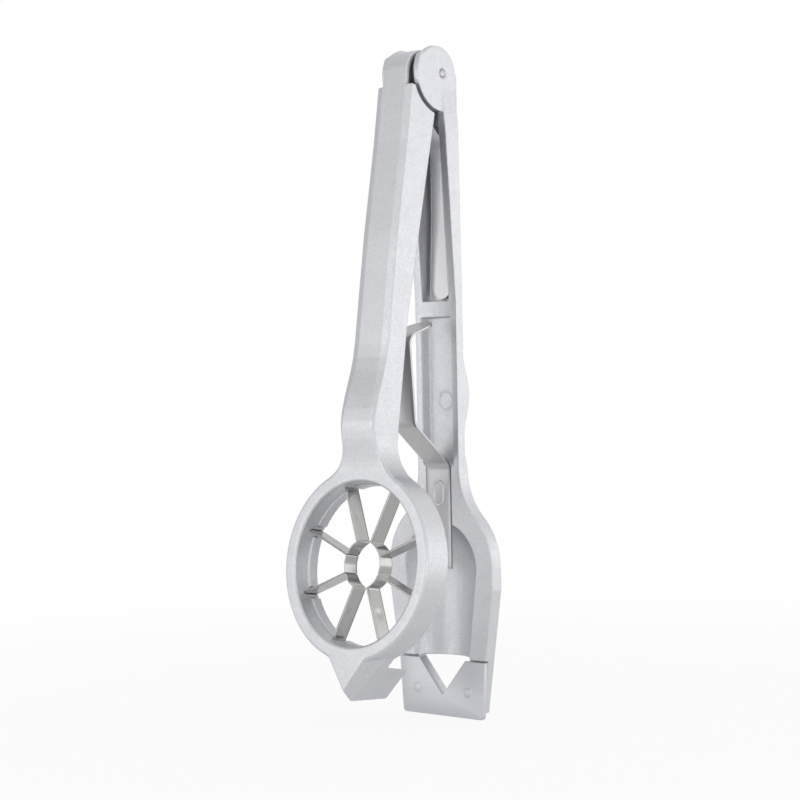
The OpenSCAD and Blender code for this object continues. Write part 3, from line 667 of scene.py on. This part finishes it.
star = newPiece("bladeStar", petal, bladeSteel)
softenEdges(star, starSet["edge"])
repeatPiece(star, group, sockets, {"Count": starSet["count"], "Metal": bladeSteel})
bladeY = starSet["faceY"] + starSet["back"] + starSet["width"] / 2
middle = Vector((0, bladeY, starSet["height"])) * mm
star.data.transform(swingOpen @ Matrix.Translation(middle))
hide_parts(*[f"petal_blade_{i + 1}" for i in range(starSet["count"])])
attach(star, "front")
print("bladeStar", len(star.data.polygons), "faces")


# Hinge pin, ground, with a round groove in each end where it was staked
pinSet = {
    "cheek": 6.4, "set": 0.1,                # mm, its ends lie this far inside the cheeks' faces
    # radius and depth behind the end, from the middle out across the groove to the chamfer
    "endRows": [(0.2, 0), (0.7, 0), (0.8, 0.06), (0.88, 0.7), (1.1, 0.7), (1.16, 0.02),
                (1.25, 0), (1.3, 0.06)],
}
pinReach = pinSet["cheek"] - pinSet["set"]
pinEnd = [(radius, pinReach - depth) for radius, depth in pinSet["endRows"]]
pinMesh = spunMesh("hingePin", [(radius, -height) for radius, height in pinEnd] + pinEnd[::-1])
pinMesh.transform(Matrix.Translation(pinAt) @ Matrix.Rotation(pi / 2, 4, "Y"))
hingePin = newPiece("hingePin", pinMesh, pinSteel)
pinMesh.shade_smooth()
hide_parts("hinge_pin")
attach(hingePin, "rear")


# Oval rivet that holds the ejector strip: a cast stud headed over, with a round rim and a hollow
# middle
ovalSet = {
    "width": 4.0, "length": 7.0, "seat": 3.2, "height": 59.1,    # mm
    "sides": 24,                             # in each half round
    # inset from the edge and depth behind the inner face, from the edge inwards
    "rimRows": [(0, 0.1), (0.04, -0.14), (0.15, -0.22), (0.35, -0.25), (0.6, -0.2), (0.75, -0.08),
                (1.15, 0.38), (1.25, 0.44), (1.6, 0.46)],
}


def ovalRow(inset, depth):
    radius = ovalSet["width"] / 2 - inset
    straight = (ovalSet["length"] - ovalSet["width"]) / 2
    row = []
    for end in (1, -1):
        for j in range(ovalSet["sides"] + 1):
            turn = pi * j / ovalSet["sides"]
            height = end * (straight + radius * sin(turn)) + ovalSet["height"]
            row.append(Vector((end * radius * cos(turn), innerY + depth, height)) * mm)
    return row


ovalRows = [(0, ovalSet["seat"])] + ovalSet["rimRows"]
ovalMesh = loftMesh("ovalRivet", [ovalRow(inset, depth) for inset, depth in ovalRows])
ovalRivet = newPiece("ovalRivet", ovalMesh, castAluminium)
ovalMesh.shade_smooth()
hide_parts("spring_rivet")
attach(ovalRivet, "rear")


# Notched plate, stamped from strip
plateSet = {
    "height": 15.0, "topWidth": 29.8, "toeWidth": 28.0,          # mm
    "corner": 1.0, "cornerSteps": 8,
    "notchTip": 5.5, "notchAngle": 40.0,     # mm, and degrees from upright
    "edge": 0.12, "edgeAngle": 40,           # mm, and degrees
}
plateTop, plateHalf = plateSet["height"], plateSet["topWidth"] / 2
notchHalf = (plateTop - plateSet["notchTip"]) * tan(radians(plateSet["notchAngle"]))
outline = [(-plateHalf, plateTop)]
corner, cornerSteps = plateSet["corner"], plateSet["cornerSteps"]
turns = [pi + pi / 2 * i / cornerSteps for i in range(cornerSteps + 1)]
for side in (-1, 1):
    x = side * (plateSet["toeWidth"] / 2 - corner)
    rounded = [(x + corner * cos(turn) * -side, corner + corner * sin(turn)) for turn in turns]
    outline += rounded if side < 0 else rounded[::-1]
outline += [(plateHalf, plateTop), (notchHalf, plateTop), (0, plateSet["notchTip"]),
            (-notchHalf, plateTop)]
plateMesh = loftMesh("notchPlate", [[Vector((x * mm, y, z * mm)) for x, z in outline]
                                    for y in (plateBox[0].y, plateBox[1].y)])
notchPlate = newPiece("notchPlate", plateMesh, plateSteel)
softenEdges(notchPlate, plateSet["edge"], plateSet["edgeAngle"])
settle(notchPlate)
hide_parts("notch_blade")
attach(notchPlate, "rear")


# Plate rivets: low domes, each in a sunk ring, set out in a row
rivetSet = {
    "pitch": 17.6, "height": 6.85,           # mm
    "count": 2,
    # radius and depth behind the top of the dome, from the middle out
    "headRows": [(0.15, 0), (0.7, 0.02), (1.1, 0.08), (1.3, 0.22), (1.38, 0.5), (1.5, 0.65),
                 (1.64, 0.6), (1.72, 0.32), (1.75, 0.26)],
}
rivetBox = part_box("notch_rivet_left")
front, back = rivetBox[0].y / mm, rivetBox[1].y / mm
headRows = rivetSet["headRows"]
rivetMesh = spunMesh("plateRivet", [(radius, front + depth) for radius, depth in headRows]
                     + [(radius, back - depth) for radius, depth in headRows[::-1]])
rivetMesh.transform(Matrix.Rotation(-pi / 2, 4, "X"))

group, sockets, given = newGroup("setOutInRow", {
    "Count": "NodeSocketInt", "Start": "NodeSocketVector", "Step": "NodeSocketVector",
    "Metal": "NodeSocketMaterial"})
places = addNode(group, "GeometryNodeMeshLine", {
    "Count": given["Count"], "Start Location": given["Start"], "Offset": given["Step"]})
copyOnPoints(group, given, {"Points": places.outputs[0]})

plateRivets = newPiece("plateRivets", rivetMesh, castAluminium)
repeatPiece(plateRivets, group, sockets, {
    "Count": rivetSet["count"],
    "Start": (-rivetSet["pitch"] / 2 * mm, 0, rivetSet["height"] * mm),
    "Step": (rivetSet["pitch"] * mm, 0, 0),
    "Metal": castAluminium})
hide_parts("notch_rivet_left", "notch_rivet_right")
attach(plateRivets, "rear")
print("small pieces made")
